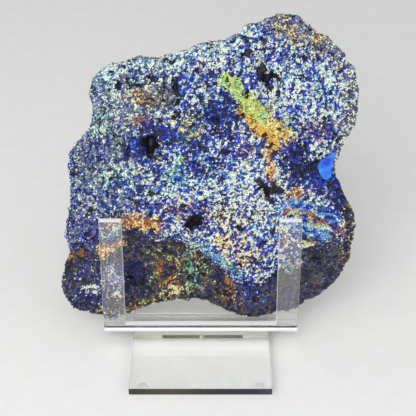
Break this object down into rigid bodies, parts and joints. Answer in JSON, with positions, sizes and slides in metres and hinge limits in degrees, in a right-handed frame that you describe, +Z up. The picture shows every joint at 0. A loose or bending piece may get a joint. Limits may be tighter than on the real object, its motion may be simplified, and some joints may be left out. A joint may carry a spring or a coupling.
{
  "type": "azurite malachite slab on a clear display stand",
  "caption": "Rough azurite and malachite slab leaning back in a clear acrylic display stand with two front arms and a flat base plate.",
  "frame": {"origin": "middle of the whole part's box at the surface it stands on", "axes": "+Z up, -Y the side that the slab's crusted face and the stand's arms look to, +X to the right as seen from that side"},
  "size_m": [0.1628, 0.1024, 0.176],
  "materials": {
    "mineral": "rough granular crust of deep blue azurite with pale green malachite, cream and rust-coloured grains",
    "acrylic": "clear polished acrylic sheet",
    "bumper": "soft clear bumper"
  },
  "bodies": {
    "root": {"slab": "mineral", "cradle": "acrylic", "base_plate": "acrylic", "bumper_front_left": "bumper", "bumper_front_right": "bumper", "bumper_rear_left": "bumper", "bumper_rear_right": "bumper"}
  },
  "joints": []
}
